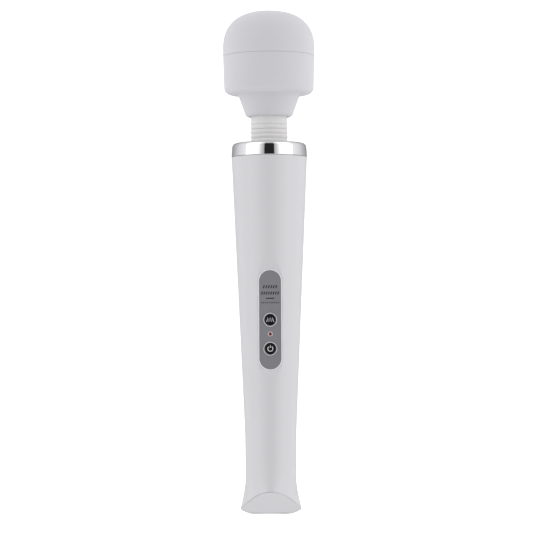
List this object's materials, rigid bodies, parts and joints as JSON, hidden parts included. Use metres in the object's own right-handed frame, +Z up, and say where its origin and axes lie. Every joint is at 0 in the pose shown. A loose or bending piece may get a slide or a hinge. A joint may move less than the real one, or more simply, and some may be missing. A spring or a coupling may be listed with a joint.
{
  "type": "wand massager",
  "caption": "Cordless handheld wand massager: domed silicone head on a ribbed flexible neck, plated ring, tapered handle with a control panel and a slanted tail.",
  "frame": {"origin": "under the middle of the wand's box, on the surface it lies on", "axes": "+Y towards the head, +Z up out of the controls, +X to the right with the head pointing away"},
  "size_m": [0.0584, 0.3188, 0.0589],
  "materials": {
    "silicone": "matte soft silicone, light cool grey",
    "neck_rubber": "satin soft rubber, warm off-white",
    "gloss_shell": "glossy light silver-white paint on moulded plastic",
    "bright_ring": "polished chrome plating",
    "panel_grey": "satin mid grey moulded plastic",
    "rim": "light silver rim",
    "key_black": "glossy black",
    "led_red": "dark red clear plastic",
    "core_plastic": "natural moulded plastic",
    "steel": "bright steel",
    "brass": "turned brass",
    "copper": "wound copper wire",
    "board": "green solder mask",
    "cell": "blue shrink sleeve on a steel cell",
    "dark_rubber": "black rubber",
    "lead_red": "red insulated wire"
  },
  "bodies": {
    "handle": {"front_shell": "gloss_shell", "back_shell": "gloss_shell", "tail_cap": "gloss_shell", "chrome_ring": "bright_ring", "neck_base": "core_plastic", "control_panel": "panel_grey", "panel_bezel": "rim", "mode_button_ring": "rim", "power_button_ring": "rim", "led_ring": "rim", "led_light_pipe": "led_red", "led_chip": "core_plastic", "control_board": "board", "mode_switch": "dark_rubber", "power_switch": "dark_rubber", "battery_tray": "core_plastic", "battery_cell_1": "cell", "battery_cell_2": "cell", "contact_plate_minus": "steel", "contact_plate_plus": "steel", "charge_port_frame": "panel_grey", "charge_contact_1": "brass", "charge_contact_2": "brass", "charge_lead": "lead_red", "battery_lead_black": "dark_rubber", "battery_lead_red": "lead_red", "motor_lead_lower": "dark_rubber", "shell_screw_1": "steel", "shell_screw_2": "steel", "screw_plug_1": "neck_rubber", "screw_plug_2": "neck_rubber"},
    "neck_link": {"neck_bellows": "neck_rubber", "motor_lead_neck": "dark_rubber"},
    "head": {"head_cap": "silicone", "head_sleeve": "silicone", "head_core_cap": "core_plastic", "head_core_cup": "core_plastic", "neck_clamp_ring": "steel", "clamp_screw_1": "steel", "clamp_screw_2": "steel", "clamp_screw_3": "steel", "motor_can": "steel", "motor_magnet": "dark_rubber", "motor_end_bell": "dark_rubber", "motor_bearing": "brass", "motor_damper_lower": "dark_rubber", "motor_damper_upper": "dark_rubber"},
    "rotor": {"motor_shaft": "steel", "motor_armature": "copper", "eccentric_weight": "brass", "weight_set_screw": "steel"},
    "mode_key": {"mode_button": "key_black", "mode_switch_stem": "key_black"},
    "power_key": {"power_button": "key_black", "power_switch_stem": "key_black"}
  },
  "joints": [
    {"name": "neck_tilt", "type": "hinge", "parent": "handle", "child": "neck_link", "pos_m": [0, 0.0836, 0.02706], "axis": [1, 0, 0], "range_deg": [-15, 15], "stiffness_Nm_per_rad": 4, "deforming": ["neck_bellows", "motor_lead_neck"]},
    {"name": "neck_sway", "type": "hinge", "parent": "neck_link", "child": "head", "pos_m": [0, 0.0836, 0.02706], "axis": [0, -0.0524, 0.9986], "range_deg": [-15, 15], "stiffness_Nm_per_rad": 4, "deforming": ["neck_bellows", "motor_lead_neck"]},
    {"name": "motor_spin", "type": "hinge", "parent": "head", "child": "rotor", "pos_m": [0, 0.13882, 0.02996], "axis": [0, 0.9986, 0.0524], "continuous": true},
    {"name": "mode_press", "type": "slide", "parent": "handle", "child": "mode_key", "axis": [0, 0.1003, -0.995], "range_m": [0, 0.0005], "stiffness_N_per_m": 1500, "springref_m": -0.0004},
    {"name": "power_press", "type": "slide", "parent": "handle", "child": "power_key", "axis": [0, 0.1003, -0.995], "range_m": [0, 0.0005], "stiffness_N_per_m": 1500, "springref_m": -0.0004}
  ]
}
